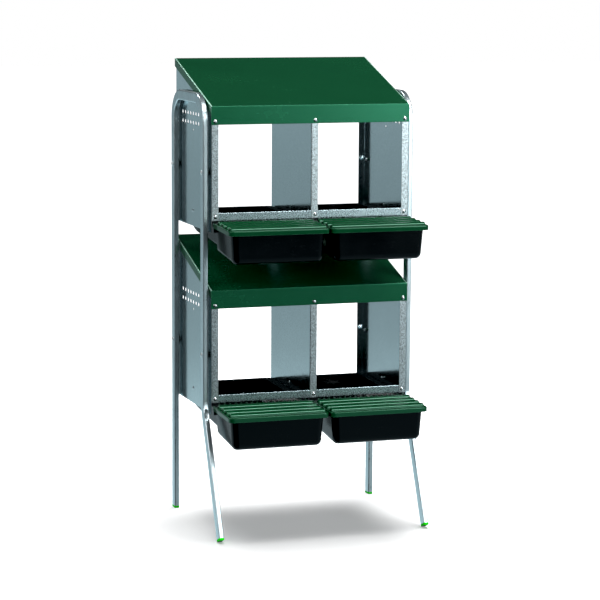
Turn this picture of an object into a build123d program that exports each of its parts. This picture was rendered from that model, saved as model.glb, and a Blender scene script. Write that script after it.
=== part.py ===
from build123d import *
import os
from math import atan, cos, degrees, radians, sin, sqrt, tan

# Chicken nesting box on a tubular stand: two tiers, two nests in each tier.
# Millimetres, +Z up, the nests open towards -Y, X runs along the row.
# The origin is on the floor under the middle of the whole object.

# ------------------------------------------------------------------ dimensions
y_front = -103.79         # front face of the stiles
tier_pitch = 527.0        # lower tier hangs this far under the upper one
half_width = 300.0        # outer faces of the side panels
sheet = 1.0               # galvanised and painted sheet
depth = 368.0             # stile face to rear flange face
panel_bottom = 874.0      # lower edge of panels and divider (upper tier)
stile_bottom = 907.0      # lower end of the front flanges
stile_width = 21.0
rear_flange = 20.0
bend_r = 2.0              # outside radius of a sheet bend

# roof
roof_front_z = 1234.0     # front fold
roof_slope = 0.3205
roof_rear_y = 378.0
fascia_bottom = 1181.0
roof_side_drop = 24.0
roof_lip_drop = 25.0
roof_half = half_width + sheet

# vent holes in the side panels
vent_r = 5.5
vent_pitch = 27.3
vent_count = 9
vent_mid_y = 185.0
vent_rows = (1202.5, 1175.8)
pilot_hole = (186.0, 1155.5, 3.0)

# front and rear rails
rail_bottom = 907.0
rail_top = 929.5
rail_hem = 7.0
rear_rail_low = 880.0
rear_rail_high = 903.0
rear_rail_t = 1.2

# leg frames: rectangular tube, one bent piece on each side
tube_y = 30.0
tube_x = 15.0
tube_wall = 1.5
tube_corner = 3.5
leg_gap = 5.0             # spacer between panel and tube
leg_mid_x = half_width + leg_gap + tube_x / 2
rear_leg_y = 336.0
front_leg_y = 30.5
leg_top_z = 1253.0        # centre line of the top run
leg_bend_r = 70.0
kink_z = 369.0
kink_r = 55.0
kink_slope = 0.457        # forward per unit of drop, below the kink
dent_long = 21.0          # crushed inside of the kink: half length and half width of the hollow
dent_wide = 8.0
dent_depth = 4.4
dent_along = 33.0         # dent centre, below the kink along the leg
cap_height = 6.5
cap_edge = 1.0
cap_plug = 20.0

# fasteners
bolt_z = 1044.0
bolt_r = 3.0
bolt_head_r = 7.4
bolt_head_h = 4.0
nut_flats = 10.0
nut_height = 5.0
spacer_r = 8.0
screw_r = 2.4
screw_head_r = 5.6
screw_head_h = 3.2
screw_length = 10.0
hole_play = 0.05
stile_screw_x = 288.0
centre_screw_x = 12.0
fascia_screw_z = 1190.5
rail_screw_z = 918.0
rear_screw_z = 891.0
keeper_y = 187.0
keeper_z = 919.5
keeper_r = 2.5
keeper_head_r = 5.0
keeper_head_h = 2.6

# tray runners
runner_play = 0.3         # rim to runner
runner_width = 18.0
runner_drop = 15.0
runner_y0 = 15.0
runner_y1 = 345.0

# trays
tray_x = 149.75           # middle of each nest
# where each tray sits in its nest: sideways, and forward along the runners
tray_seat = {
    ("upper", "left"): (0.8, -0.8),
    ("upper", "right"): (1.2, -0.8),
    ("lower", "left"): (-1.1, -8.5),
    ("lower", "right"): (1.4, -8.5),
}
wall = 2.5
rim_half = 145.0
rim_t = 2.5
rim_z = 898.6             # top of the rim level with the stile faces
rim_slope = 0.0265        # the trays lean a little to the front
rim_y0 = -4.0
rim_y1 = 360.0
rim_corner_r = 12.0
shoulder_z = 874.0        # lower edge of the plates beside the egg box
basin_half = 125.0
basin_draft = 1.0
basin_edge_r = 14.0
basin_top_z = 904.5       # where the basin is basin_half wide
basin_floor_y = 248.0     # where the floor starts to curve up
basin_floor_z = 845.3
basin_floor_angle = 5.1
basin_curve_r = 115.0
basin_back_angle = 55.0
basin_rear_y = 346.0
basin_corner_r = 38.0
box_half = 140.4
box_y0 = -162.2
box_y1 = -1.0
box_draft = 4.05          # side walls and rear wall
box_front_draft = 2.6
box_top = 905.0
box_floor_z = 814.1       # at 5 mm in front of the stiles
box_floor_slope = 0.121
box_corner_r = 18.0
box_edge_r = 23.0
lid_slope = 0.0404
box_rim_z = 898.9         # rim of the egg box, 10 mm in front of the stiles

# lids
lid_half = 149.2
lid_y0 = -173.8
lid_y1 = -9.0
lid_top = 902.0           # top of the plate, 10 mm in front of the stiles
lid_t = 2.5
lid_skirt = 13.2
lid_corner_r = 15.0
lid_edge_r = 2.4
rib_y = (-38.0, -74.5, -111.0, -147.5)
rib_half_width = 12.0
rib_height = 8.0
rib_end = 6.5             # rib end to lid edge
rib_end_r = 4.0
tooth_pitch = 16.4
tooth_count = 17
tooth_width = 4.5
tooth_top = 5.6
hinge_y = -20.0
hinge_z = 897.6
hinge_bar_r = 4.0
hinge_bar_half = 133.5
pin_r = 2.5
pin_half = 143.0
ear_r = 6.0
ear_in = 134.0
ear_out = 144.0


def fy(value):
    """Distance behind the stile faces, as Y in the object's frame."""
    return y_front + value


def roof_z(value):
    """Top face of the upper roof at a distance behind the stile faces."""
    return roof_front_z + roof_slope * (value + sheet)


def side_plane(x=0.0):
    """Plane across the row: local x is Y, local y is Z, normal +X."""
    return Plane(origin=(x, 0, 0), x_dir=(0, 1, 0), z_dir=(1, 0, 0))


def face_plane(y):
    """Plane along the row: local x is X, local y is Z, normal -Y."""
    return Plane(origin=(0, y, 0), x_dir=(1, 0, 0), z_dir=(0, -1, 0))


tilt = atan(kink_slope)
panel_top_gap = sheet * sqrt(1 + roof_slope**2) + 1.2
tiers = {"upper": 0.0, "lower": -tier_pitch}
sides = {"left": -1, "right": 1}
pieces = {}


# ------------------------------------------------------------------ leg frames
sole_z = (tube_y / 2 - cap_edge) * sin(tilt) + cap_edge * (1 - cos(tilt))
sole_y = front_leg_y - kink_slope * (kink_z - sole_z)
tube_end_y = sole_y + cap_height * sin(tilt)
tube_end_z = sole_z + cap_height * cos(tilt)
route_points = [
    (fy(rear_leg_y), cap_height),
    (fy(rear_leg_y), leg_top_z),
    (fy(front_leg_y), leg_top_z),
    (fy(front_leg_y), kink_z),
    (fy(tube_end_y), tube_end_z),
]
route_radii = [leg_bend_r, leg_bend_r, kink_r]
# the dent is a long shallow hollow in the face of the tube, on the inside of the kink
dent_y = fy(front_leg_y) - dent_along * sin(tilt) - (tube_y / 2 + dent_wide - dent_depth) * cos(tilt)
dent_z = kink_z - dent_along * cos(tilt) + (tube_y / 2 + dent_wide - dent_depth) * sin(tilt)


def dent(x_mid, grow):
    """Solid that presses the dent, larger by grow all round."""
    middle = (x_mid, dent_y, dent_z)
    along = (0, -sin(tilt), -cos(tilt))
    with BuildPart() as press:
        with BuildSketch(Plane(origin=middle, x_dir=along, z_dir=(1, 0, 0))):
            with BuildLine():
                EllipticalCenterArc((0, 0), dent_long + grow, dent_wide + grow, start_angle=0, arc_size=180)
                Line((-dent_long - grow, 0), (dent_long + grow, 0))
            make_face()
        revolve(axis=Axis(middle, along))
    return press


def leg_frame(side):
    x_mid = side * leg_mid_x
    inner_dent = dent(x_mid, 0.0)
    outer_dent = dent(x_mid, tube_wall)
    with BuildPart() as bore:
        with BuildLine(side_plane(x_mid)):
            FilletPolyline(*route_points, radius=route_radii)
        with BuildSketch(Plane(origin=(x_mid, fy(rear_leg_y), cap_height))):
            RectangleRounded(tube_x - 2 * tube_wall, tube_y - 2 * tube_wall, tube_corner - tube_wall)
        sweep()
        add(outer_dent.part, mode=Mode.SUBTRACT)
    with BuildPart() as frame:
        with BuildLine(side_plane(x_mid)):
            FilletPolyline(*route_points, radius=route_radii)
        with BuildSketch(Plane(origin=(x_mid, fy(rear_leg_y), cap_height))):
            RectangleRounded(tube_x, tube_y, tube_corner)
        sweep()
        add(inner_dent.part, mode=Mode.SUBTRACT)
        add(bore.part, mode=Mode.SUBTRACT)
        with BuildSketch(side_plane(x_mid)):
            with Locations(
                (fy(rear_leg_y), bolt_z),
                (fy(front_leg_y), bolt_z),
                (fy(rear_leg_y), bolt_z - tier_pitch),
                (fy(front_leg_y), bolt_z - tier_pitch),
            ):
                Circle(bolt_r + hole_play)
        extrude(amount=tube_x, both=True, mode=Mode.SUBTRACT)
    return frame


def foot_cap(sole):
    with BuildPart() as cap:
        with BuildSketch(sole):
            RectangleRounded(tube_x, tube_y, tube_corner)
        extrude(amount=cap_height)
        fillet(cap.faces().sort_by(Axis(sole.origin, sole.z_dir))[0].edges(), cap_edge)
        with BuildSketch(sole.offset(cap_height)):
            RectangleRounded(
                tube_x - 2 * tube_wall - 0.2, tube_y - 2 * tube_wall - 0.2, tube_corner - tube_wall - 0.1
            )
        extrude(amount=cap_plug)
        chamfer(cap.faces().sort_by(Axis(sole.origin, sole.z_dir))[-1].edges(), 0.8)
    return cap


for side_name, side in sides.items():
    pieces[side_name + "_leg_frame"] = leg_frame(side)
    rear_sole = Plane(origin=(side * leg_mid_x, fy(rear_leg_y), 0), x_dir=(1, 0, 0), z_dir=(0, 0, 1))
    pieces["rear_" + side_name + "_foot_cap"] = foot_cap(rear_sole)
    front_sole = Plane(
        origin=(side * leg_mid_x, fy(sole_y), sole_z), x_dir=(1, 0, 0), z_dir=(0, sin(tilt), cos(tilt))
    )
    pieces["front_" + side_name + "_foot_cap"] = foot_cap(front_sole)


# ------------------------------------------------------- side panels, dividers
def channel(x_wall, inward, drop):
    """Upright sheet with a front and a rear flange, cut along the roof slope."""
    tall = roof_z(depth) - panel_bottom
    with BuildPart() as folded:
        with BuildSketch(Plane(origin=(0, 0, panel_bottom + drop))):
            with BuildLine():
                Polyline(
                    (x_wall, fy(0)),
                    (x_wall + inward * stile_width, fy(0)),
                    (x_wall + inward * stile_width, fy(sheet)),
                    (x_wall + inward * sheet, fy(sheet)),
                    (x_wall + inward * sheet, fy(depth - sheet)),
                    (x_wall + inward * rear_flange, fy(depth - sheet)),
                    (x_wall + inward * rear_flange, fy(depth)),
                    (x_wall, fy(depth)),
                    close=True,
                )
            make_face()
            fillet([p for p in vertices() if abs(p.X - x_wall) < 0.01], bend_r)
            fillet([p for p in vertices() if abs(p.X - x_wall - inward * sheet) < 0.01], bend_r - sheet)
        extrude(amount=tall)
        with BuildSketch(side_plane(x_wall)):
            with BuildLine():
                Polyline(
                    (fy(-20), roof_z(-20) - panel_top_gap + drop),
                    (fy(depth + 20), roof_z(depth + 20) - panel_top_gap + drop),
                    (fy(depth + 20), roof_z(depth + 20) + 200 + drop),
                    (fy(-20), roof_z(depth + 20) + 200 + drop),
                    close=True,
                )
            make_face()
        extrude(amount=60, both=True, mode=Mode.SUBTRACT)
    return folded


def side_panel(side, drop):
    outer = side * half_width
    step = bend_r + 0.2
    folded = channel(outer, -side, drop)
    with BuildPart() as panel:
        add(folded.part)
        # the front flange ends at the rail, the sheet itself runs on down
        with BuildSketch(side_plane(outer)):
            with Locations((fy(step - 10), stile_bottom - 25 + drop)):
                Rectangle(20, 50)
        extrude(amount=60, both=True, mode=Mode.SUBTRACT)
        # vent holes, pilot hole, bolt holes, keeper hole
        with BuildSketch(side_plane(outer)):
            for row in vent_rows:
                with Locations((fy(vent_mid_y), row + drop)):
                    with GridLocations(vent_pitch, 1, vent_count, 1):
                        Circle(vent_r)
            with Locations((fy(pilot_hole[0]), pilot_hole[1] + drop)):
                Circle(pilot_hole[2])
            with Locations((fy(rear_leg_y), bolt_z + drop), (fy(front_leg_y), bolt_z + drop)):
                Circle(bolt_r + hole_play)
            with Locations((fy(keeper_y), keeper_z + drop)):
                Circle(keeper_r + hole_play)
        extrude(amount=3 * sheet, both=True, mode=Mode.SUBTRACT)
        # screw holes in the flanges
        with BuildSketch(face_plane(fy(0))):
            with Locations(
                (side * stile_screw_x, fascia_screw_z + drop), (side * stile_screw_x, rail_screw_z + drop)
            ):
                Circle(screw_r + hole_play)
        extrude(amount=3 * sheet, both=True, mode=Mode.SUBTRACT)
        with BuildSketch(face_plane(fy(depth))):
            with Locations((side * stile_screw_x, rear_screw_z + drop)):
                Circle(screw_r + hole_play)
        extrude(amount=3 * sheet, both=True, mode=Mode.SUBTRACT)
    return panel


def divider(drop):
    left = -sheet / 2
    notch_y = sheet + rail_hem + 3.0
    notch_z = rail_top + 1.5
    folded = channel(left, 1, drop)
    with BuildPart() as panel:
        add(folded.part)
        # the sheet is notched for the rail, its flange runs down in front of it
        with BuildSketch(side_plane(0)):
            with Locations((fy(notch_y - 20), stile_bottom - 25 + drop)):
                Rectangle(40, 50)
        extrude(amount=60, both=True, mode=Mode.SUBTRACT)
        with BuildSketch(face_plane(fy(-10))):
            with Locations((left + bend_r + 0.5 - 10, (stile_bottom - 10 + notch_z) / 2 + drop)):
                Rectangle(20, notch_z - stile_bottom + 10)
        extrude(amount=-(notch_y + 10), mode=Mode.SUBTRACT)
        with BuildSketch(side_plane(0)):
            with Locations((fy(keeper_y), keeper_z + drop)):
                Circle(keeper_r + hole_play)
        extrude(amount=3 * sheet, both=True, mode=Mode.SUBTRACT)
        with BuildSketch(face_plane(fy(0))):
            with Locations((centre_screw_x, fascia_screw_z + drop), (centre_screw_x, rail_screw_z + drop)):
                Circle(screw_r + hole_play)
        extrude(amount=3 * sheet, both=True, mode=Mode.SUBTRACT)
        with BuildSketch(face_plane(fy(depth))):
            with Locations((centre_screw_x, rear_screw_z + drop)):
                Circle(screw_r + hole_play)
        extrude(amount=3 * sheet, both=True, mode=Mode.SUBTRACT)
    return panel


# ------------------------------------------------------------------------ roof
def roof(drop):
    rear = roof_rear_y
    under = sheet * sqrt(1 + roof_slope**2)
    with BuildPart() as hollow:
        with BuildSketch(side_plane(0)):
            with BuildLine():
                Polyline(
                    (fy(0), fascia_bottom - 60 + drop),
                    (fy(rear - sheet), fascia_bottom - 60 + drop),
                    (fy(rear - sheet), roof_z(rear - sheet) - under + drop),
                    (fy(0), roof_z(0) - under + drop),
                    close=True,
                )
            make_face()
        extrude(amount=half_width, both=True)
        top = hollow.faces().sort_by(Axis.Z)[-1]
        fillet(top.edges(), bend_r - sheet)
    with BuildPart() as cover:
        with BuildSketch(side_plane(0)):
            with BuildLine():
                Polyline(
                    (fy(-sheet), fascia_bottom + drop),
                    (fy(-sheet), roof_z(-sheet) + drop),
                    (fy(rear), roof_z(rear) + drop),
                    (fy(rear), roof_z(rear) - roof_lip_drop + drop),
                    (fy(0), roof_z(0) - roof_side_drop + drop),
                    (fy(0), fascia_bottom + drop),
                    close=True,
                )
            make_face()
        extrude(amount=roof_half, both=True)
        top = cover.faces().filter_by(lambda f: f.normal_at().Z > 0.9).sort_by(SortBy.AREA)[-1]
        fillet(top.edges(), bend_r)
        add(hollow.part, mode=Mode.SUBTRACT)
        with BuildSketch(face_plane(fy(0))):
            with Locations(
                (-stile_screw_x, fascia_screw_z + drop),
                (centre_screw_x, fascia_screw_z + drop),
                (stile_screw_x, fascia_screw_z + drop),
            ):
                Circle(screw_r + hole_play)
        extrude(amount=3 * sheet, both=True, mode=Mode.SUBTRACT)
    return cover


# ----------------------------------------------------------------------- rails
def front_rail(drop):
    length = half_width - sheet - 1.2
    low, high = rail_bottom + drop, rail_top + drop
    with BuildPart() as rail:
        with BuildSketch(side_plane(0)):
            with BuildLine():
                Polyline(
                    (fy(sheet), low),
                    (fy(2 * sheet), low),
                    (fy(2 * sheet), high - sheet),
                    (fy(sheet + rail_hem), high - sheet),
                    (fy(sheet + rail_hem), high),
                    (fy(sheet), high),
                    close=True,
                )
            make_face()
        extrude(amount=length, both=True)
        along = rail.edges().filter_by(Axis.X)
        fillet([e for e in along if abs(e.center().Z - high) < 0.01 and abs(e.center().Y - fy(sheet)) < 0.01], 1.6)
        along = rail.edges().filter_by(Axis.X)
        fillet(
            [
                e
                for e in along
                if abs(e.center().Z - high + sheet) < 0.01 and abs(e.center().Y - fy(2 * sheet)) < 0.01
            ],
            0.6,
        )
        with BuildSketch(face_plane(fy(sheet))):
            with Locations(
                (-stile_screw_x, rail_screw_z + drop),
                (centre_screw_x, rail_screw_z + drop),
                (stile_screw_x, rail_screw_z + drop),
            ):
                Circle(screw_r + hole_play)
        extrude(amount=3 * sheet, both=True, mode=Mode.SUBTRACT)
    return rail


def rear_rail(drop):
    with BuildPart() as rail:
        with BuildSketch(face_plane(fy(depth))):
            with Locations((0, (rear_rail_low + rear_rail_high) / 2 + drop)):
                RectangleRounded(2 * (half_width - 3.0), rear_rail_high - rear_rail_low, 4.0)
            with Locations(
                (-stile_screw_x, rear_screw_z + drop),
                (centre_screw_x, rear_screw_z + drop),
                (stile_screw_x, rear_screw_z + drop),
            ):
                Circle(screw_r + hole_play, mode=Mode.SUBTRACT)
        extrude(amount=-rear_rail_t)
    return rail


# --------------------------------------------------------------------- runners
def runner(x_wall, towards, drop):
    """Angle strip on a sheet face at x_wall, its ledge pointing along towards."""
    lean = atan(rim_slope)
    top = rim_z - rim_t - runner_play + rim_slope * runner_y0 + drop
    start = Plane(origin=(0, fy(runner_y0), top), x_dir=(1, 0, 0), z_dir=(0, -cos(lean), -sin(lean)))
    with BuildPart() as strip:
        with BuildSketch(start):
            with BuildLine():
                Polyline(
                    (x_wall, 0),
                    (x_wall + towards * runner_width, 0),
                    (x_wall + towards * runner_width, -sheet),
                    (x_wall + towards * sheet, -sheet),
                    (x_wall + towards * sheet, -runner_drop),
                    (x_wall, -runner_drop),
                    close=True,
                )
            make_face()
            fillet([p for p in vertices() if abs(p.X - x_wall) < 0.01 and abs(p.Y) < 0.01], 1.5)
            fillet(
                [p for p in vertices() if abs(p.X - x_wall - towards * sheet) < 0.01 and abs(p.Y + sheet) < 0.01], 0.5
            )
        extrude(amount=-(runner_y1 - runner_y0))
        ends = strip.edges().filter_by(Axis((0, 0, 0), start.y_dir))
        fillet([e for e in ends if abs(e.center().X - x_wall - towards * runner_width) < 0.01], 4.0)
    return strip


for tier, drop in tiers.items():
    for side_name, side in sides.items():
        pieces[tier + "_" + side_name + "_side_panel"] = side_panel(side, drop)
        pieces[tier + "_" + side_name + "_runner"] = runner(side * (half_width - sheet), -side, drop)
        pieces[tier + "_divider_" + side_name + "_runner"] = runner(side * sheet / 2, side, drop)
    pieces[tier + "_divider"] = divider(drop)
    pieces[tier + "_roof"] = roof(drop)
    pieces[tier + "_front_rail"] = front_rail(drop)
    pieces[tier + "_rear_rail"] = rear_rail(drop)


# ----------------------------------------------------------------------- trays
def basin(cx, inset, front_y, top_z):
    """Nest basin as a solid: sloping floor that curves up into the back wall."""
    a, b = radians(basin_floor_angle), radians(basin_back_angle)
    r = basin_curve_r - inset
    mid_y = basin_floor_y - basin_curve_r * sin(a)
    mid_z = basin_floor_z + basin_curve_r * cos(a)
    start = (fy(mid_y + r * sin(a)), mid_z - r * cos(a))
    half = (fy(mid_y + r * sin((a + b) / 2)), mid_z - r * cos((a + b) / 2))
    end = (fy(mid_y + r * sin(b)), mid_z - r * cos(b))
    crest = (end[0] + (top_z - end[1]) / tan(b), top_z)
    nose = (fy(front_y), start[1] - tan(a) * (start[0] - fy(front_y)))
    hw = basin_half - inset
    with BuildPart() as bowl:
        with BuildSketch(side_plane(cx)):
            with BuildLine():
                Line(nose, start)
                ThreePointArc(start, half, end)
                Polyline(end, crest, (fy(front_y), top_z), nose)
            make_face()
        extrude(amount=hw, both=True)
        lean = tan(radians(basin_draft))
        rise, fall = top_z - basin_top_z, 110.0
        with BuildSketch(face_plane(fy(-40))):
            with BuildLine():
                Polyline(
                    (cx - hw - rise * lean, top_z),
                    (cx + hw + rise * lean, top_z),
                    (cx + hw - fall * lean, basin_top_z - fall),
                    (cx - hw + fall * lean, basin_top_z - fall),
                    close=True,
                )
            make_face()
        extrude(amount=-460, mode=Mode.INTERSECT)
        keel = [
            e
            for e in bowl.edges()
            if abs(e.center().X - cx) > hw - 6
            and e.center().Z < top_z - 1
            and e.center().Y > fy(front_y) + 1
        ]
        fillet(keel, basin_edge_r - inset)
        # round rear corners, seen from above
        rear = basin_rear_y - inset
        with BuildSketch(Plane(origin=(0, 0, 780))):
            with Locations((cx, fy((front_y - 10 + rear) / 2))):
                Rectangle(2 * (hw + 3), rear - front_y + 10)
            fillet([p for p in vertices() if p.Y > fy(100)], basin_corner_r + 3 - inset)
        extrude(amount=200, mode=Mode.INTERSECT)
    return bowl


def egg_box(cx, inset, top_z):
    """Egg box as a solid: tapered, floor falling to the front, round front corners."""
    y0, y1 = box_y0 + inset, box_y1 - inset
    lift = inset / cos(atan(box_floor_slope))
    deep = 130.0
    front_lean = tan(radians(box_front_draft))
    side_lean = tan(radians(box_draft))
    hw = box_half - inset
    rise = top_z - box_top
    with BuildPart() as box:
        # side view: front and rear wall, floor
        with BuildSketch(side_plane(cx)):
            with BuildLine():
                Polyline(
                    (fy(y0 - rise * front_lean), top_z),
                    (fy(y1 + rise * side_lean), top_z),
                    (fy(y1 - deep * side_lean), box_top - deep),
                    (fy(y0 + deep * front_lean), box_top - deep),
                    close=True,
                )
            make_face()
        extrude(amount=hw + 20, both=True)
        # front view: side walls
        with BuildSketch(face_plane(fy(-220))):
            with BuildLine():
                Polyline(
                    (cx - hw - rise * side_lean, top_z),
                    (cx + hw + rise * side_lean, top_z),
                    (cx + hw - deep * side_lean, box_top - deep),
                    (cx - hw + deep * side_lean, box_top - deep),
                    close=True,
                )
            make_face()
        extrude(amount=-300, mode=Mode.INTERSECT)
        # floor
        low_front = box_floor_z + box_floor_slope * (-200 + 5) + lift
        low_rear = box_floor_z + box_floor_slope * (40 + 5) + lift
        with BuildSketch(side_plane(cx)):
            with BuildLine():
                Polyline(
                    (fy(-200), low_front),
                    (fy(40), low_rear),
                    (fy(40), low_front - 100),
                    (fy(-200), low_front - 100),
                    close=True,
                )
            make_face()
        extrude(amount=200, both=True, mode=Mode.SUBTRACT)
        corners = [
            e
            for e in box.edges()
            if abs(e.tangent_at(0.5).Z) > 0.9 and e.center().Y < fy((y0 + y1) / 2)
        ]
        fillet(corners, box_corner_r - inset)
        floor = box.faces().sort_by(Axis.Z)[0]
        rim = [e for e in floor.edges() if e.center().Y < fy(y1 - 16)]
        fillet(rim, min(box_edge_r, box_corner_r - 0.4) - inset)
    return box


def tray(cx, shift, drop):
    basin_out = basin(cx, 0.0, -12.0, 914.0)
    basin_in = basin(cx, wall, -22.0, 922.0)
    box_out = egg_box(cx, 0.0, box_top)
    box_in = egg_box(cx, wall, box_top + 8)
    with BuildPart() as pan:
        add(box_out.part)
        add(basin_out.part)
        # plates beside the egg box, in front of the runners
        with BuildSketch(face_plane(fy(rim_y0))):
            with Locations((cx, (shoulder_z + box_top) / 2)):
                Rectangle(2 * rim_half, box_top - shoulder_z)
        extrude(amount=-wall)
        # rim
        with BuildSketch(side_plane(cx)):
            with BuildLine():
                Polyline(
                    (fy(rim_y0), rim_z - rim_t + rim_slope * rim_y0),
                    (fy(rim_y1), rim_z - rim_t + rim_slope * rim_y1),
                    (fy(rim_y1), rim_z + 20),
                    (fy(rim_y0), rim_z + 20),
                    close=True,
                )
            make_face()
        extrude(amount=rim_half, both=True)
        # everything ends at the rim plane, and at the lid's seat over the egg box
        with BuildSketch(side_plane(cx)):
            with BuildLine():
                Polyline(
                    (fy(-200), box_rim_z + lid_slope * (-200 + 10)),
                    (fy(-8), box_rim_z + lid_slope * (-8 + 10)),
                    (fy(rim_y0), rim_z + rim_slope * rim_y0),
                    (fy(rim_y1 + 20), rim_z + rim_slope * (rim_y1 + 20)),
                    (fy(rim_y1 + 20), rim_z + 80),
                    (fy(-200), rim_z + 80),
                    close=True,
                )
            make_face()
        extrude(amount=200, both=True, mode=Mode.SUBTRACT)
        posts = [
            e
            for e in pan.edges().filter_by(Axis.Z)
            if abs(e.center().Y - fy(rim_y1)) < 0.01 and abs(abs(e.center().X - cx) - rim_half) < 0.01
        ]
        fillet(posts, rim_corner_r)
        add(basin_in.part, mode=Mode.SUBTRACT)
        add(box_in.part, mode=Mode.SUBTRACT)
        # hinge ears on the side walls of the egg box
        for s in (-1, 1):
            with BuildSketch(side_plane(cx + s * ear_in)):
                with Locations((fy(hinge_y), hinge_z)):
                    Circle(ear_r)
                with Locations((fy(hinge_y), hinge_z - 6.0)):
                    Rectangle(2 * ear_r, 12.0)
            extrude(amount=s * (ear_out - ear_in))
        with BuildSketch(side_plane(cx)):
            with Locations((fy(hinge_y), hinge_z)):
                Circle(pin_r + hole_play)
        extrude(amount=ear_out + 1, both=True, mode=Mode.SUBTRACT)
    with BuildPart() as placed:
        add(pan.part.moved(Location((0, shift, drop + rim_slope * shift))))
    return placed


# ------------------------------------------------------------------------ lids
def lid(cx, shift, drop):
    lean = atan(lid_slope)
    top = Plane(origin=(cx, fy(-10), lid_top), x_dir=(1, 0, 0), z_dir=(0, -sin(lean), cos(lean)))
    v0, v1 = (lid_y0 + 10) / cos(lean), (lid_y1 + 10) / cos(lean)
    ball_r = (rib_half_width**2 + rib_height**2) / (2 * rib_height)
    rib_span = lid_half - rib_end
    crests = []
    for y in rib_y:
        crest = top.from_local_coords(Vector(0, (y + 10) / cos(lean), rib_height - ball_r))
        crests.append(Plane(origin=crest, x_dir=(0, 1, 0), z_dir=(1, 0, 0)))
    with BuildPart() as rib_hollows:
        for crest in crests:
            with BuildSketch(crest):
                Circle(ball_r - lid_t)
            extrude(amount=rib_span - lid_t - 1.0, both=True)
    with BuildPart() as ribs:
        for crest in crests:
            with BuildSketch(crest):
                Circle(ball_r)
            extrude(amount=rib_span, both=True)
        fillet(ribs.edges().filter_by(GeomType.CIRCLE), rib_end_r)
        # only what stands above the plate is kept
        with BuildSketch(top.offset(-lid_t / 2)):
            with Locations((0, (v0 + v1) / 2)):
                Rectangle(2 * lid_half, v1 - v0)
        extrude(amount=30, mode=Mode.INTERSECT)
    with BuildPart() as cover:
        with BuildSketch(top):
            with Locations((0, (v0 + v1) / 2)):
                Rectangle(2 * lid_half, v1 - v0)
            fillet([p for p in vertices() if p.Y < (v0 + v1) / 2], lid_corner_r)
        extrude(amount=-lid_skirt)
        crown = cover.faces().sort_by(Axis(top.origin, top.z_dir))[-1]
        rear_y = fy(lid_y1) - 1
        fillet([e for e in crown.edges() if e.center().Y < rear_y], lid_edge_r)
        with BuildSketch(top.offset(-lid_skirt)):
            with Locations((0, (v0 + lid_t + v1 + 5) / 2)):
                Rectangle(2 * (lid_half - lid_t), v1 + 5 - v0 - lid_t)
            fillet([p for p in vertices() if p.Y < (v0 + v1) / 2], lid_corner_r - lid_t)
        extrude(amount=lid_skirt - lid_t, mode=Mode.SUBTRACT)
        add(ribs.part)
        add(rib_hollows.part, mode=Mode.SUBTRACT)
        # rear corners are cut out around the ears of the tray
        notch = hinge_y - ear_r - 1.2
        for s in (-1, 1):
            with BuildSketch(top.offset(-lid_t - 1)):
                with Locations((s * (hinge_bar_half + 0.2 + lid_half - lid_t) / 2, (notch + 10 + v1 + 5) / 2)):
                    Rectangle(lid_half - lid_t - hinge_bar_half - 0.2, v1 + 5 - (notch + 10))
            extrude(amount=lid_t + 12, mode=Mode.SUBTRACT)
        # comb of small teeth along the rear edge
        with BuildSketch(top.offset(-lid_t / 2)):
            with Locations((0, v1 - 3.5)):
                with GridLocations(tooth_pitch, 1, tooth_count, 1):
                    RectangleRounded(tooth_width, 5.0, 1.2)
        extrude(amount=tooth_top + lid_t / 2)
        # hinge bar and pins
        with BuildSketch(side_plane(cx)):
            with Locations((fy(hinge_y), hinge_z)):
                Circle(hinge_bar_r)
        extrude(amount=hinge_bar_half, both=True)
        with BuildSketch(side_plane(cx)):
            with Locations((fy(hinge_y), hinge_z)):
                Circle(pin_r)
        extrude(amount=pin_half, both=True)
    with BuildPart() as placed:
        add(cover.part.moved(Location((0, shift, drop + rim_slope * shift))))
    return placed


for tier, drop in tiers.items():
    for side_name, side in sides.items():
        sideways, forward = tray_seat[(tier, side_name)]
        middle = side * tray_x + sideways
        pieces[tier + "_" + side_name + "_tray"] = tray(middle, forward, drop)
        pieces[tier + "_" + side_name + "_lid"] = lid(middle, forward, drop)


# ------------------------------------------------------------------- fasteners
def turned(seat, head_r, head_h, shank_r, shank_length, recess=False):
    """Dome-headed fastener, turned about the seat plane's normal, its head under side on the seat."""
    rim = 0.25 * head_h
    ball = (head_r**2 + (head_h - rim) ** 2) / (2 * (head_h - rim))
    mid = head_r * 0.5
    with BuildPart() as fastener:
        with BuildSketch(Plane(origin=seat.origin, x_dir=seat.x_dir, z_dir=-seat.y_dir)):
            with BuildLine():
                Polyline(
                    (0, head_h), (0, -shank_length), (shank_r, -shank_length), (shank_r, 0), (head_r, 0), (head_r, rim)
                )
                ThreePointArc((head_r, rim), (mid, head_h - ball + sqrt(ball**2 - mid**2)), (0, head_h))
            make_face()
        revolve(axis=Axis(seat.origin, seat.z_dir))
        if recess:
            # cross slot in the head
            with BuildSketch(seat.offset(head_h - 1.6)):
                Rectangle(5.2, 1.1, rotation=20)
                Rectangle(1.1, 5.2, rotation=20)
            extrude(amount=4, mode=Mode.SUBTRACT)
    return fastener


bolt_seats = []
for drop in tiers.values():
    for side in sides.values():
        for y in (rear_leg_y, front_leg_y):
            bolt_seats.append((side, fy(y), bolt_z + drop))

bolt_length = tube_x + leg_gap + sheet + nut_height + 2.0
bolts = []
for side, y, z in bolt_seats:
    seat = Plane(origin=(side * (leg_mid_x + tube_x / 2), y, z), x_dir=(0, 1, 0), z_dir=(side, 0, 0))
    bolts.append(turned(seat, bolt_head_r, bolt_head_h, bolt_r, bolt_length))
with BuildPart() as leg_bolts:
    for bolt in bolts:
        add(bolt.part)
pieces["leg_bolts"] = leg_bolts

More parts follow.
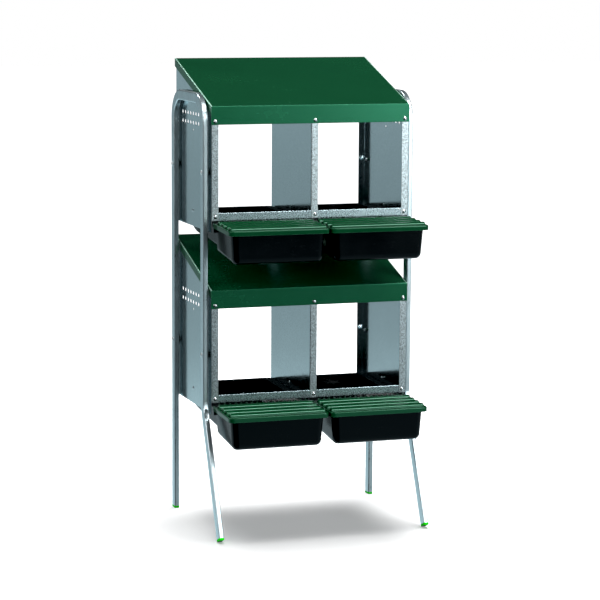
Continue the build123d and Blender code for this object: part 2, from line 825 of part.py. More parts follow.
with BuildPart() as leg_nuts:
    for side, y, z in bolt_seats:
        with BuildSketch(Plane(origin=(side * (half_width - sheet), y, z), x_dir=(0, 1, 0), z_dir=(-side, 0, 0))):
            RegularPolygon(nut_flats / 2, 6, major_radius=False)
            Circle(bolt_r + hole_play, mode=Mode.SUBTRACT)
        extrude(amount=nut_height)
pieces["leg_nuts"] = leg_nuts

with BuildPart() as leg_spacers:
    for side, y, z in bolt_seats:
        with BuildSketch(Plane(origin=(side * half_width, y, z), x_dir=(0, 1, 0), z_dir=(side, 0, 0))):
            Circle(spacer_r)
            Circle(bolt_r + hole_play, mode=Mode.SUBTRACT)
        extrude(amount=leg_gap)
pieces["leg_spacers"] = leg_spacers


screw_columns = (-stile_screw_x, centre_screw_x, stile_screw_x)


def screw_row(y, z, facing):
    """Three screws in a line, heads facing the front (-1) or the rear (1)."""
    row = []
    for x in screw_columns:
        seat = Plane(origin=(x, y, z), x_dir=(1, 0, 0), z_dir=(0, facing, 0))
        row.append(turned(seat, screw_head_r, screw_head_h, screw_r, screw_length, recess=True))
    return row


roof_row, front_row, rear_row = [], [], []
for drop in tiers.values():
    roof_row += screw_row(fy(-sheet), fascia_screw_z + drop, -1)
    front_row += screw_row(fy(0), rail_screw_z + drop, -1)
    rear_row += screw_row(fy(depth + rear_rail_t), rear_screw_z + drop, 1)

with BuildPart() as roof_screws:
    for screw in roof_row:
        add(screw.part)
pieces["roof_screws"] = roof_screws

with BuildPart() as front_rail_screws:
    for screw in front_row:
        add(screw.part)
pieces["front_rail_screws"] = front_rail_screws

with BuildPart() as rear_rail_screws:
    for screw in rear_row:
        add(screw.part)
pieces["rear_rail_screws"] = rear_rail_screws

# keepers over the tray rims: head on one face of the sheet, nut on the other
keeper_seats = []
for drop in tiers.values():
    keeper_seats.append((-half_width, -1, drop))
    keeper_seats.append((-sheet / 2, -1, drop))
    keeper_seats.append((half_width, 1, drop))

keepers = []
for x, out, drop in keeper_seats:
    seat = Plane(origin=(x, fy(keeper_y), keeper_z + drop), x_dir=(0, 1, 0), z_dir=(out, 0, 0))
    keepers.append(turned(seat, keeper_head_r, keeper_head_h, keeper_r, sheet + 7.0))
with BuildPart() as keeper_screws:
    for keeper in keepers:
        add(keeper.part)
pieces["keeper_screws"] = keeper_screws

with BuildPart() as keeper_nuts:
    for x, out, drop in keeper_seats:
        with BuildSketch(
            Plane(origin=(x - out * sheet, fy(keeper_y), keeper_z + drop), x_dir=(0, 1, 0), z_dir=(-out, 0, 0))
        ):
            RegularPolygon(4.0, 6, major_radius=False)
            Circle(keeper_r + hole_play, mode=Mode.SUBTRACT)
        extrude(amount=4.0)
pieces["keeper_nuts"] = keeper_nuts


# ---------------------------------------------------------------------- export
os.makedirs("parts", exist_ok=True)
for name, piece in pieces.items():
    piece.part.label = name
    export_step(piece.part, "parts/" + name + ".step")

boxes = [piece.part.bounding_box() for piece in pieces.values()]
print("nodes", len(pieces))
print("x", min(b.min.X for b in boxes), max(b.max.X for b in boxes))
print("y", min(b.min.Y for b in boxes), max(b.max.Y for b in boxes))
print("z", min(b.min.Z for b in boxes), max(b.max.Z for b in boxes))
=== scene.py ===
import math

import bpy
from mathutils import Matrix, Vector

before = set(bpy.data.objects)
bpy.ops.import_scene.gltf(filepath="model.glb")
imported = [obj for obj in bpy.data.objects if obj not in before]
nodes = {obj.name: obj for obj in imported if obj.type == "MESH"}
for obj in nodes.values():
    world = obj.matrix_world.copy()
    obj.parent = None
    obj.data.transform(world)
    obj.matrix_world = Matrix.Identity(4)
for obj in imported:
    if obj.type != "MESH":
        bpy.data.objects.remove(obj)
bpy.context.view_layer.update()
scene = bpy.context.scene

FRONT = -0.10379          # Y of the stile faces
KINK_Z = 0.369            # height of the kink in the front legs
ROOF_HALF = 0.3010         # outer faces of the roof sides


# ------------------------------------------------------------- node helpers
class Graph:
    """Short names for building a node tree."""

    def __init__(self, tree):
        self.t = tree

    def put(self, socket, value):
        if isinstance(value, bpy.types.NodeSocket):
            self.t.links.new(value, socket)
        else:
            socket.default_value = value

    def node(self, kind, inputs=None, **props):
        n = self.t.nodes.new(kind)
        for key, value in props.items():
            setattr(n, key, value)
        for key, value in (inputs or {}).items():
            self.put(n.inputs[key], value)
        return n

    def math(self, op, a, b=None, c=None, clamp=False):
        n = self.node("ShaderNodeMath", operation=op, use_clamp=clamp)
        for i, value in enumerate((a, b, c)):
            if value is not None:
                self.put(n.inputs[i], value)
        return n.outputs[0]

    def vmath(self, op, a, b=None, scale=None):
        n = self.node("ShaderNodeVectorMath", operation=op)
        self.put(n.inputs[0], a)
        if b is not None:
            self.put(n.inputs[1], b)
        if scale is not None:
            self.put(n.inputs["Scale"], scale)
        return n.outputs["Value"] if op in ("DOT_PRODUCT", "LENGTH", "DISTANCE") else n.outputs[0]

    def mix(self, factor, a, b, blend="MIX"):
        n = self.node("ShaderNodeMix", data_type="RGBA", blend_type=blend)
        self.put(n.inputs[0], factor)
        self.put(n.inputs[6], a)
        self.put(n.inputs[7], b)
        return n.outputs[2]

    def fmix(self, factor, a, b):
        n = self.node("ShaderNodeMix", data_type="FLOAT")
        self.put(n.inputs[0], factor)
        self.put(n.inputs[2], a)
        self.put(n.inputs[3], b)
        return n.outputs[0]

    def vmix(self, factor, a, b):
        n = self.node("ShaderNodeMix", data_type="VECTOR")
        self.put(n.inputs[0], factor)
        self.put(n.inputs[4], a)
        self.put(n.inputs[5], b)
        return n.outputs[1]

    def remap(self, value, lo, hi, out_lo=0.0, out_hi=1.0, smooth=False):
        n = self.node(
            "ShaderNodeMapRange",
            {"Value": value, "From Min": lo, "From Max": hi, "To Min": out_lo, "To Max": out_hi},
            interpolation_type="SMOOTHSTEP" if smooth else "LINEAR",
            clamp=True,
        )
        return n.outputs[0]

    def ramp(self, factor, stops, smooth=True):
        n = self.node("ShaderNodeValToRGB", {"Fac": factor})
        r = n.color_ramp
        r.interpolation = "EASE" if smooth else "LINEAR"
        while len(r.elements) < len(stops):
            r.elements.new(0.5)
        for e, (at, colour) in zip(r.elements, stops):
            e.position = at
            e.color = colour if len(colour) == 4 else (*colour, 1.0)
        return n.outputs[0]

    def noise(self, vector, scale, detail=3.0, rough=0.55, distortion=0.0):
        n = self.node(
            "ShaderNodeTexNoise",
            {"Vector": vector, "Scale": scale, "Detail": detail, "Roughness": rough, "Distortion": distortion},
        )
        return n.outputs["Fac"]

    def cells(self, vector, scale, feature="F1"):
        return self.node("ShaderNodeTexVoronoi", {"Vector": vector, "Scale": scale}, feature=feature)

    def coords(self):
        return self.node("ShaderNodeTexCoord").outputs["Object"]

    def stretch(self, vector, by):
        return self.vmath("MULTIPLY", vector, by)

    def xyz(self, vector):
        n = self.node("ShaderNodeSeparateXYZ", {0: vector})
        return n.outputs[0], n.outputs[1], n.outputs[2]

    def join(self, x, y, z):
        return self.node("ShaderNodeCombineXYZ", {0: x, 1: y, 2: z}).outputs[0]

    def bump(self, height, distance, strength=1.0, normal=None):
        ins = {"Height": height, "Distance": distance, "Strength": strength}
        if normal is not None:
            ins["Normal"] = normal
        return self.node("ShaderNodeBump", ins).outputs[0]

    def crevice_shade(self, distance, darkest, low=0.05, high=0.45):
        """Painted shade: 1 in the open, down to darkest where another face is closer than the distance."""
        n = self.node("ShaderNodeAmbientOcclusion", {"Distance": distance}, samples=6)
        return self.remap(n.outputs["AO"], low, high, darkest, 1.0)

    def edge(self, radius, low, high):
        """0 on flat faces, 1 where two faces meet within the radius."""
        round_normal = self.node("ShaderNodeBevel", {"Radius": radius}, samples=4).outputs[0]
        flat_normal = self.node("ShaderNodeNewGeometry").outputs["Normal"]
        d = self.vmath("DOT_PRODUCT", round_normal, flat_normal)
        return self.remap(self.math("SUBTRACT", 1.0, d), low, high), round_normal


def material(name):
    m = bpy.data.materials.new(name)
    m.use_nodes = True
    m.node_tree.nodes.clear()
    g = Graph(m.node_tree)
    out = g.node("ShaderNodeOutputMaterial")
    bsdf = g.node("ShaderNodeBsdfPrincipled")
    m.node_tree.links.new(bsdf.outputs[0], out.inputs[0])
    return m, g, bsdf


def dress(names, mat):
    for name in names:
        obj = nodes[name]
        if not obj.data.materials:
            obj.data.materials.append(mat)
        for s in obj.material_slots:
            s.material = mat


# ---------------------------------------------------------------- materials
def galvanised_sheet(name, grain, tilt, rough_low, rough_high, tint, front_rough, front_dark, front_tilt):
    """Zinc coated sheet: small crystals, each with its own lean and tone, strongest on the front flanges, with painted
    shade on the front faces and in narrow spaces.
    """
    m, g, bsdf = material(name)
    p = g.coords()
    normal = g.node("ShaderNodeNewGeometry").outputs["Normal"]
    ripple = g.node("ShaderNodeTexNoise", {"Vector": p, "Scale": 260.0}).outputs["Color"]
    warped = g.vmath("ADD", p, g.vmath("SCALE", ripple, scale=0.0012))
    crystal = g.cells(warped, 1.0 / grain)
    small = g.cells(warped, 1.6 / grain)
    shade = g.xyz(crystal.outputs["Color"])
    fine = g.xyz(small.outputs["Color"])
    bloom = g.noise(p, 7.0, 4.0, 0.6)
    haze = g.noise(p, 46.0, 3.0, 0.6)
    speck = g.noise(p, 900.0, 2.0, 0.7)
    edge, rounded = g.edge(0.0014, 0.02, 0.25)
    facing = g.remap(g.math("MULTIPLY", g.xyz(normal)[1], -1.0), 0.5, 0.9)
    flange = g.math("MULTIPLY", facing, g.math("LESS_THAN", g.xyz(p)[1], FRONT + 0.004))

    mixed = g.math("MULTIPLY_ADD", shade[0], 0.5, g.math("MULTIPLY", fine[1], 0.2))
    mixed = g.math("MULTIPLY_ADD", bloom, 0.3, mixed)
    dark = tuple(0.92 * c for c in tint)
    light = tuple(min(1.0, 1.06 * c) for c in tint)
    colour = g.ramp(mixed, ((0.15, dark), (0.5, tint), (0.85, light)))
    # crystals on the front flanges run from dull to bright, and the front faces are darkened as a whole: spangle plus
    # painted shade
    spangle_and_shade = g.math("MINIMUM", g.remap(shade[1], 0.10, 0.60, front_dark, 0.9), g.remap(fine[0], 0.05, 0.45, front_dark, 0.9))
    colour = g.mix(flange, colour, g.mix(1.0, colour, g.join(spangle_and_shade, spangle_and_shade, spangle_and_shade), "MULTIPLY"))
    # handling marks, rubbed edges, painted shade in the narrow gaps
    smudge = g.remap(g.noise(p, 11.0, 5.0, 0.65, 0.4), 0.56, 0.72)
    colour = g.mix(g.math("MULTIPLY", smudge, 0.08), colour, (*(0.76 * c for c in tint), 1.0))
    worn = g.math("MULTIPLY", edge, g.remap(haze, 0.35, 0.6))
    colour = g.mix(g.math("MULTIPLY", worn, 0.5), colour, (0.86, 0.88, 0.89, 1.0))
    # painted shade: darker colour and weaker reflection where another face is within 10 mm
    gap_shade = g.crevice_shade(0.010, 0.03, 0.10, 0.55)
    gap_shade = g.join(gap_shade, gap_shade, gap_shade)
    colour = g.mix(1.0, colour, gap_shade, "MULTIPLY")
    g.put(bsdf.inputs["Base Color"], colour)
    bsdf.inputs["Metallic"].default_value = 1.0
    g.put(bsdf.inputs["Specular Tint"], g.mix(1.0, gap_shade, (*ZINC_EDGE, 1.0), "MULTIPLY"))

    rough = g.remap(g.math("MULTIPLY_ADD", haze, 0.5, g.math("MULTIPLY", shade[2], 0.5)), 0.2, 0.8, rough_low, rough_high)
    rough = g.math("MULTIPLY_ADD", smudge, 0.05, rough)
    g.put(bsdf.inputs["Roughness"], g.math("MULTIPLY_ADD", flange, front_rough, rough))

    lean = g.vmath("SUBTRACT", crystal.outputs["Color"], (0.5, 0.5, 0.5))
    lean2 = g.vmath("SUBTRACT", small.outputs["Color"], (0.5, 0.5, 0.5))
    lean = g.vmath("ADD", lean, g.vmath("SCALE", lean2, scale=0.7))
    lean = g.vmath("SCALE", lean, scale=g.fmix(flange, tilt, front_tilt))
    tipped = g.vmath("NORMALIZE", g.vmath("ADD", rounded, lean))
    wave = g.noise(p, 5.0, 1.0, 0.4)
    wave = g.math("MULTIPLY", wave, g.math("SUBTRACT", 1.0, flange))
    tipped = g.bump(wave, 0.002, 0.30, tipped)
    g.put(bsdf.inputs["Normal"], g.bump(speck, 0.00002, 0.4, tipped))
    return m


def galvanised_tube(name, tint):
    """Drawn tube: long streaks along the leg, also below the kink of the front legs."""
    m, g, bsdf = material(name)
    p = g.coords()
    x, y, z = g.xyz(p)
    # below the kink the front leg leans, so the streaks turn with it
    lean = math.radians(24.56)
    front = g.math("LESS_THAN", y, -0.02)
    low = g.math("MULTIPLY", front, g.remap(z, KINK_Z + 0.012, KINK_Z - 0.012))
    zr = g.math("SUBTRACT", z, KINK_Z)
    across = g.math("MULTIPLY_ADD", y, math.cos(lean), g.math("MULTIPLY", zr, -math.sin(lean)))
    along = g.math("MULTIPLY_ADD", zr, math.cos(lean), g.math("MULTIPLY", y, math.sin(lean)))
    turned = g.vmix(low, p, g.join(x, across, along))
    streak = g.noise(g.stretch(turned, (420.0, 420.0, 3.2)), 1.0, 4.0, 0.62)
    broad = g.noise(g.stretch(turned, (130.0, 130.0, 1.6)), 1.0, 2.0, 0.5)
    cloud = g.noise(p, 16.0, 4.0, 0.6)
    edge, _ = g.edge(0.0018, 0.02, 0.3)
    scuff = g.remap(g.noise(g.stretch(turned, (90.0, 90.0, 14.0)), 1.0, 5.0, 0.7, 0.3), 0.60, 0.70)

    mixed = g.math("MULTIPLY_ADD", streak, 0.45, g.math("MULTIPLY", broad, 0.35))
    mixed = g.math("MULTIPLY_ADD", cloud, 0.2, mixed)
    dark = tuple(0.74 * c for c in tint)
    light = tuple(min(1.0, 1.16 * c) for c in tint)
    colour = g.ramp(mixed, ((0.32, dark), (0.5, tint), (0.66, light)))
    colour = g.mix(g.math("MULTIPLY", scuff, 0.15), colour, (*(0.62 * c for c in tint), 1.0))
    worn = g.math("MULTIPLY", edge, g.remap(cloud, 0.35, 0.65, 0.15, 0.5))
    colour = g.mix(worn, colour, (0.88, 0.90, 0.91, 1.0))
    # painted shade: darker colour and weaker reflection where another face is within 10 mm, as between tube and panel
    gap_shade = g.crevice_shade(0.010, 0.04, 0.08, 0.50)
    gap_shade = g.join(gap_shade, gap_shade, gap_shade)
    colour = g.mix(1.0, colour, gap_shade, "MULTIPLY")
    g.put(bsdf.inputs["Base Color"], colour)
    bsdf.inputs["Metallic"].default_value = 0.92
    g.put(bsdf.inputs["Specular Tint"], g.mix(1.0, gap_shade, (*ZINC_EDGE, 1.0), "MULTIPLY"))
    rough = g.remap(g.math("MULTIPLY_ADD", streak, 0.6, g.math("MULTIPLY", cloud, 0.4)), 0.3, 0.7, 0.25, 0.35)
    g.put(bsdf.inputs["Roughness"], g.math("MULTIPLY_ADD", scuff, 0.06, rough))
    g.put(bsdf.inputs["Normal"], g.bump(g.math("MULTIPLY_ADD", broad, 1.5, streak), 0.00007, 0.5))
    return m


def zinc_plate(name, reach, rough_low, rough_high):
    """Bright plated screws, bolts and nuts, with painted shade where a face is closer than the reach."""
    m, g, bsdf = material(name)
    p = g.coords()
    cloud = g.noise(p, 240.0, 4.0, 0.6)
    fine = g.noise(p, 1500.0, 3.0, 0.6)
    edge, _ = g.edge(0.0006, 0.02, 0.3)
    colour = g.ramp(cloud, ((0.3, (0.62, 0.67, 0.70)), (0.55, (0.76, 0.81, 0.83)), (0.75, (0.86, 0.89, 0.90))))
    colour = g.mix(g.math("MULTIPLY", edge, 0.45), colour, (0.90, 0.92, 0.93, 1.0))
    # painted shade where another face is closer than the reach
    gap_shade = g.crevice_shade(reach, 0.03, 0.10, 0.50)
    colour = g.mix(1.0, colour, g.join(gap_shade, gap_shade, gap_shade), "MULTIPLY")
    g.put(bsdf.inputs["Base Color"], colour)
    bsdf.inputs["Metallic"].default_value = 1.0
    g.put(bsdf.inputs["Roughness"], g.remap(cloud, 0.3, 0.7, rough_low, rough_high))
    g.put(bsdf.inputs["Normal"], g.bump(fine, 0.00004, 0.5))
    return m


def coil_paint(name, base, tint):
    """Painted sheet: even colour, faint rolling marks, orange peel, folds rubbed and lightened with a painted
    highlight, and a painted glint along the side folds.
    """
    m, g, bsdf = material(name)
    p = g.coords()
    cloud = g.noise(p, 5.5, 4.0, 0.6)
    peel = g.noise(p, 520.0, 2.0, 0.5)
    roll = g.noise(g.stretch(p, (1.6, 90.0, 90.0)), 1.0, 3.0, 0.55)
    dust = g.remap(g.noise(p, 130.0, 6.0, 0.75), 0.60, 0.74)
    edge, fold = g.edge(0.0030, 0.02, 0.30)
    chip = g.remap(g.noise(p, 210.0, 4.0, 0.7), 0.53, 0.60)

    dark = tuple(0.94 * c for c in base)
    light = tuple(1.06 * c for c in base)
    colour = g.ramp(g.math("MULTIPLY_ADD", roll, 0.12, g.math("MULTIPLY", cloud, 0.88)), ((0.3, dark), (0.5, base), (0.7, light)))
    # painted highlight: the folds are lightened to a pale mint, on top of the paint rubbed thin there
    pale = (0.13, 0.40, 0.27)
    colour = g.mix(g.math("MULTIPLY", edge, 0.75), colour, (*pale, 1.0))
    colour = g.mix(g.math("MULTIPLY", g.math("MULTIPLY", edge, chip), 0.45), colour, (0.46, 0.56, 0.52, 1.0))
    # painted highlight: a pale mint line along the top of the roof's side folds
    outward = g.remap(g.math("ABSOLUTE", g.xyz(p)[0]), ROOF_HALF - 0.0042, ROOF_HALF - 0.0018)
    glint = g.math("MULTIPLY", outward, g.remap(g.xyz(g.node("ShaderNodeNewGeometry").outputs["Normal"])[2], 0.25, 0.50))
    glint = g.math("MULTIPLY", glint, g.remap(cloud, 0.30, 0.55, 0.55, 1.0))
    colour = g.mix(glint, colour, (0.50, 0.82, 0.68, 1.0))
    g.put(bsdf.inputs["Base Color"], colour)
    rough = g.remap(g.math("MULTIPLY_ADD", roll, 0.12, g.math("MULTIPLY", cloud, 0.88)), 0.3, 0.7, 0.22, 0.29)
    g.put(bsdf.inputs["Roughness"], g.math("MULTIPLY_ADD", dust, 0.02, rough))
    bsdf.inputs["IOR"].default_value = 1.48
    bsdf.inputs["Specular IOR Level"].default_value = 1.0
    bsdf.inputs["Specular Tint"].default_value = (*tint, 1.0)
    wave = g.noise(p, 3.0, 1.0, 0.4)
    first = g.bump(wave, 0.0010, 0.20, fold)
    g.put(bsdf.inputs["Normal"], g.bump(peel, 0.00002, 0.35, first))
    return m


def moulded(name, base, rough_low, rough_high, tint, scratch_colour, scratch, ior, spec, flow, edge_colour, edge_mix, hollow_shade, dusty):
    """Glossy injection moulding: flow clouding, fine scratches, rubbed edges lightened also as a painted highlight,
    painted shade between the ribs and in narrow recesses.
    """
    m, g, bsdf = material(name)
    p = g.coords()
    cloud = g.noise(p, 9.0, 4.0, 0.6)
    grain = g.noise(p, 1300.0, 2.0, 0.6)
    scuff_a = g.noise(g.stretch(p, (30.0, 30.0, 420.0)), 1.0, 3.0, 0.7, 1.2)
    scuff_b = g.noise(g.stretch(p, (420.0, 60.0, 90.0)), 1.0, 3.0, 0.7, 1.6)
    lines = g.math("MAXIMUM", g.remap(scuff_a, 0.64, 0.70), g.remap(scuff_b, 0.66, 0.72))
    patches = g.remap(g.noise(p, 22.0, 3.0, 0.6), 0.46, 0.66)
    lines = g.math("MULTIPLY", lines, patches)
    edge, _ = g.edge(0.0016, 0.03, 0.35)

    dark = tuple((1.0 - flow) * c for c in base)
    light = tuple((1.0 + flow) * c for c in base)
    colour = g.ramp(cloud, ((0.3, dark), (0.5, base), (0.7, light)))
    colour = g.mix(g.math("MULTIPLY", lines, scratch), colour, (*scratch_colour, 1.0))
    # rubbed edges, lightened also as a painted highlight
    rubbed_and_highlit = g.math("MULTIPLY", edge, g.remap(g.noise(p, 75.0, 4.0, 0.65), 0.34, 0.58, 0.25, 1.0))
    colour = g.mix(g.math("MULTIPLY", rubbed_and_highlit, edge_mix), colour, (*edge_colour, 1.0))
    # painted shade: darker colour and weaker reflection between the ribs and in narrow recesses
    valley_shade = g.crevice_shade(0.012, hollow_shade, 0.55, 0.95)
    upward = g.remap(g.xyz(g.node("ShaderNodeNewGeometry").outputs["Normal"])[2], 0.93, 0.995, 1.0, dusty)
    colour = g.mix(1.0, colour, g.join(valley_shade, valley_shade, valley_shade), "MULTIPLY")
    g.put(bsdf.inputs["Base Color"], colour)
    rough = g.remap(cloud, 0.3, 0.7, rough_low, rough_high)
    rough = g.math("MULTIPLY_ADD", lines, 0.22, rough)
    g.put(bsdf.inputs["Roughness"], g.math("MULTIPLY_ADD", rubbed_and_highlit, 0.12, rough))
    bsdf.inputs["IOR"].default_value = ior
    g.put(bsdf.inputs["Specular IOR Level"], g.math("MULTIPLY", g.math("MULTIPLY", valley_shade, upward), spec))
    bsdf.inputs["Specular Tint"].default_value = (*tint, 1.0)
    ripple = g.noise(p, 24.0, 2.0, 0.5)
    first = g.bump(ripple, 0.0006, 0.20)
    g.put(bsdf.inputs["Normal"], g.bump(grain, 0.000025, 0.4, first))
    return m


def foot_plastic(name):
    """Soft lime green caps, scuffed grey where they touch the floor, with painted shade where a face is close to the
    floor or the tube.
    """
    m, g, bsdf = material(name)
    p = g.coords()
    z = g.xyz(p)[2]
    cloud = g.noise(p, 60.0, 4.0, 0.6)
    grain = g.noise(p, 1200.0, 3.0, 0.6)
    edge, _ = g.edge(0.0016, 0.03, 0.35)
    colour = g.ramp(cloud, ((0.3, (0.016, 0.92, 0.006)), (0.5, (0.020, 0.97, 0.008)), (0.7, (0.030, 1.0, 0.012))))
    dirt = g.math("MULTIPLY", g.remap(z, 0.012, 0.0), g.remap(g.noise(p, 300.0, 4.0, 0.7), 0.42, 0.62))
    colour = g.mix(g.math("MULTIPLY", dirt, 0.35), colour, (0.10, 0.16, 0.08, 1.0))
    colour = g.mix(g.math("MULTIPLY", edge, 0.15), colour, (0.05, 0.98, 0.03, 1.0))
    # painted shade on faces close to the floor or the tube
    gap_shade = g.crevice_shade(0.020, 0.05)
    colour = g.mix(1.0, colour, g.join(gap_shade, gap_shade, gap_shade), "MULTIPLY")
    g.put(bsdf.inputs["Base Color"], colour)
    bsdf.inputs["IOR"].default_value = 1.35
    bsdf.inputs["Specular IOR Level"].default_value = 0.03
    g.put(bsdf.inputs["Roughness"], g.remap(cloud, 0.3, 0.7, 0.42, 0.60))
    g.put(bsdf.inputs["Normal"], g.bump(grain, 0.00005, 0.5))
    return m


ZINC = (0.68, 0.765, 0.795)
ZINC_EDGE = (0.92, 0.99, 1.0)
# the rail strips get a darker copy of the zinc colour: painted shade
SHADED_STRIP = (0.47, 0.57, 0.61)
sheet = galvanised_sheet("galvanised_sheet", 0.0030, 0.010, 0.10, 0.17, ZINC, 0.20, 0.40, 0.015)
rail_sheet = galvanised_sheet("galvanised_strip", 0.0022, 0.008, 0.10, 0.15, SHADED_STRIP, 0.14, 0.62, 0.006)
tube = galvanised_tube("galvanised_tube", (0.71, 0.82, 0.86))
zinc = zinc_plate("zinc_plate", 0.0012, 0.16, 0.26)
bolt = zinc_plate("zinc_bolt", 0.0012, 0.40, 0.52)
spacer = zinc_plate("zinc_spacer", 0.009, 0.16, 0.26)
paint = coil_paint("roof_green", (0.0056, 0.066, 0.0245), (0.20, 1.0, 0.60))
lid_green = moulded("lid_green", (0.0045, 0.056, 0.0190), 0.06, 0.10, (0.45, 1.0, 0.75), (0.06, 0.16, 0.10), 0.30, 1.48, 0.72, 0.14, (0.22, 0.50, 0.37), 0.38, 0.15, 0.02)
tray_black = moulded("tray_black", (0.0012, 0.0015, 0.0018), 0.14, 0.22, (0.85, 0.95, 1.0), (0.030, 0.036, 0.040), 0.50, 1.42, 0.31, 0.25, (0.085, 0.100, 0.108), 0.60, 0.75, 1.0)
foot = foot_plastic("foot_green")

dress([n for n in nodes if n.endswith("_leg_frame")], tube)
dress([n for n in nodes if n.endswith("_foot_cap")], foot)
dress([n for n in nodes if n.endswith(("_side_panel", "_divider", "_runner"))], sheet)
dress([n for n in nodes if n.endswith("_rail")], rail_sheet)
dress([n for n in nodes if n.endswith("_roof")], paint)
dress([n for n in nodes if n.endswith("_tray")], tray_black)
dress([n for n in nodes if n.endswith("_lid")], lid_green)
dress([n for n in nodes if n.endswith(("_nuts", "_screws"))], zinc)
dress([n for n in nodes if n.endswith("_bolts")], bolt)
dress([n for n in nodes if n.endswith("_spacers")], spacer)

# ------------------------------------------------------------------- camera
yaw, pitch, roll = (math.radians(a) for a in (18.787837, 8.209170, 0.330723))
fwd = Vector((math.sin(yaw) * math.cos(pitch), math.cos(yaw) * math.cos(pitch), -math.sin(pitch)))
right = Vector((math.cos(yaw), -math.sin(yaw), 0.0))
up = right.cross(fwd)
r = math.cos(roll) * right + math.sin(roll) * up
u = -math.sin(roll) * right + math.cos(roll) * up
cam_data = bpy.data.cameras.new("view")
cam_data.sensor_fit = "HORIZONTAL"
cam_data.sensor_width = 36.0
cam_data.lens = 2324.863465 * 36.0 / 600.0
cam_data.clip_end = 100.0
cam = bpy.data.objects.new("view", cam_data)
m = Matrix.Identity(4)
for i in range(3):
    m[i][0], m[i][1], m[i][2] = r[i], u[i], -fwd[i]
m.translation = Vector((-2.18080066, -6.31643716 + FRONT, 1.63206316))
cam.matrix_world = m
scene.collection.objects.link(cam)
scene.camera = cam

# -------------------------------------------------------------------- stage
bpy.ops.mesh.primitive_plane_add(size=60)
floor = bpy.context.object
floor.name = "floor"
floor.visible_glossy = False
floor.visible_diffuse = False
fm = bpy.data.materials.new("floor_white")
fm.use_nodes = True
fm.node_tree.nodes.clear()
g = Graph(fm.node_tree)
out = g.node("ShaderNodeOutputMaterial")
spot = g.node("ShaderNodeTexCoord").outputs["Object"]
away = g.vmath("LENGTH", spot)
glow = g.remap(away, 0.9, 2.2, smooth=True)
pale = g.node("ShaderNodeBsdfDiffuse", {"Color": (0.88, 0.88, 0.88, 1.0)})
shine = g.node("ShaderNodeEmission", {"Color": (1.0, 1.0, 1.0, 1.0), "Strength": g.math("MULTIPLY_ADD", glow, 1.0, 0.28)})
both = g.node("ShaderNodeAddShader", {0: pale.outputs[0], 1: shine.outputs[0]})
g.put(out.inputs[0], both.outputs[0])
floor.data.materials.append(fm)

# studio: dim surround, white behind the object
w = bpy.data.worlds.new("studio")
scene.world = w
w.use_nodes = True
w.node_tree.nodes.clear()
g = Graph(w.node_tree)
out = g.node("ShaderNodeOutputWorld")
d = g.node("ShaderNodeTexCoord").outputs["Generated"]
dx, dy, dz = g.xyz(d)
# lower half: a pale floor all round, brightest near the object
low = g.ramp(
    g.remap(dz, -0.30, 0.0),
    ((0.0, (0.90,) * 3), (0.33, (0.74,) * 3), (0.45, (0.40,) * 3), (0.66, (0.31,) * 3), (0.85, (0.42,) * 3), (0.97, (0.20,) * 3), (1.0, (0.05,) * 3)),
    smooth=False,
)
high = g.ramp(g.remap(dz, 0.0, 1.0), ((0.0, (0.05,) * 3), (0.05, (0.025,) * 3), (0.6, (0.03,) * 3), (1.0, (0.08,) * 3)))
upper = g.math("GREATER_THAN", dz, 0.0)
back = g.mix(upper, low, high)
rear = g.remap(dy, -0.25, 0.35, smooth=True)
# in front the floor is dim, and darker still to the left
side = g.remap(dx, -0.10, 0.42, smooth=True)
front_low = g.ramp(
    g.remap(dz, -0.45, 0.0),
    ((0.0, (0.50,) * 3), (0.47, (0.45,) * 3), (0.555, (0.05,) * 3), (0.60, (0.05,) * 3), (0.66, (0.19,) * 3), (1.0, (0.20,) * 3)),
    smooth=False,
)
front_low = g.mix(side, (0.02, 0.02, 0.02, 1.0), front_low)
front_up = g.ramp(g.remap(dz, 0.0, 0.25), ((0.0, (0.20,) * 3), (0.5, (0.05,) * 3), (1.0, (0.03,) * 3)))
front_up = g.mix(side, (0.02, 0.02, 0.02, 1.0), front_up)
front_tone = g.mix(upper, front_low, front_up)
tone = g.mix(rear, front_tone, back)
tone = g.mix(1.0, tone, (0.74, 0.94, 1.0, 1.0), "MULTIPLY")
seen = g.node("ShaderNodeLightPath").outputs["Is Camera Ray"]
tone = g.mix(seen, tone, (1.0, 1.0, 1.0, 1.0))
g.put(out.inputs[0], g.node("ShaderNodeBackground", {"Color": tone, "Strength": 1.0}).outputs[0])
scene.view_settings.view_transform = "Standard"
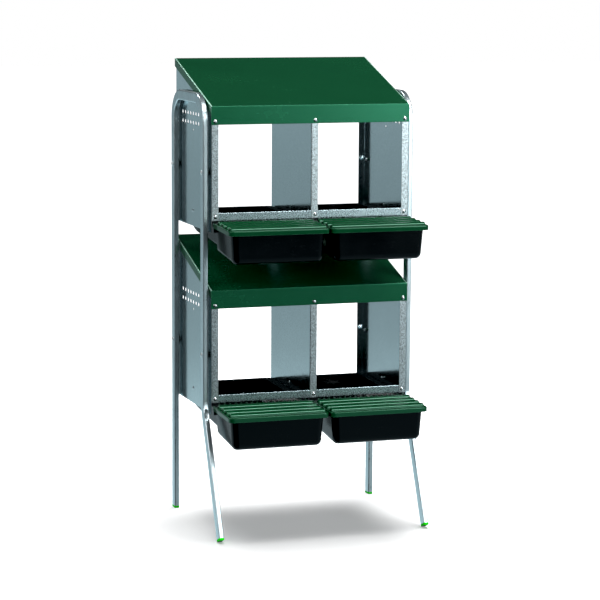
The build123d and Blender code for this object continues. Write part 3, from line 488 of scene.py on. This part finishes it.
scene.view_settings.use_curve_mapping = True
scene.view_settings.curve_mapping.black_level = (0.0028, 0.0028, 0.0028)
scene.view_settings.curve_mapping.update()


def softbox(name, at, target, size_x, size_y, power, glossy=True, tone=(1.0, 1.0, 1.0)):
    data = bpy.data.lights.new(name, "AREA")
    data.shape = "RECTANGLE"
    data.size, data.size_y = size_x, size_y
    data.energy = power
    data.color = tone
    o = bpy.data.objects.new(name, data)
    o.location = at
    o.rotation_euler = (Vector(target) - Vector(at)).to_track_quat("-Z", "Y").to_euler()
    o.visible_camera = False
    o.visible_glossy = glossy
    scene.collection.objects.link(o)
    return o


top = softbox("top", (0.85, -1.3, 3.6), (0.6, 0.0, 0.7), 2.7, 0.6, 76.0)
softbox("front_right", (3.6, -5.0, 1.85), (0.3, 0.0, 0.9), 3.0, 2.6, 148.0, tone=(0.92, 0.99, 1.0))
left = softbox("left", (-3.7, -1.0, 2.6), (0.0, 0.0, 0.8), 2.4, 2.4, 55.0)
front_left = softbox("front_left", (-3.4, -3.4, 3.3), (0.0, 0.0, 0.7), 1.6, 1.6, 15.0)
front_high = softbox("front_high", (1.9, -4.6, 3.55), (0.0, 0.0, 0.3), 2.8, 1.5, 60.0, tone=(0.92, 0.99, 1.0))
rim = softbox("rim", (-2.2, 3.3, 4.7), (0.0, 0.0, 1.0), 1.2, 0.8, 95.0)

# the white floor is lit on its own, so that it stays white around a soft shadow
wash = softbox("floor_wash", (0.15, 0.4, 4.2), (0.0, 0.0, 0.0), 3.0, 3.0, 190.0, glossy=False)
spot = softbox("floor_spot", (0.40, 0.70, 3.6), (0.0, 0.0, 0.0), 1.2, 3.2, 150.0, glossy=False)
only_floor = bpy.data.collections.new("floor_only")
only_floor.objects.link(floor)
for o in (wash, spot):
    o.light_linking.receiver_collection = only_floor
not_floor = bpy.data.collections.new("floor_left_out")
not_floor.objects.link(floor)
not_floor.collection_objects[0].light_linking.link_state = "EXCLUDE"
for o in (top, left, front_left, front_high, rim):
    o.light_linking.receiver_collection = not_floor
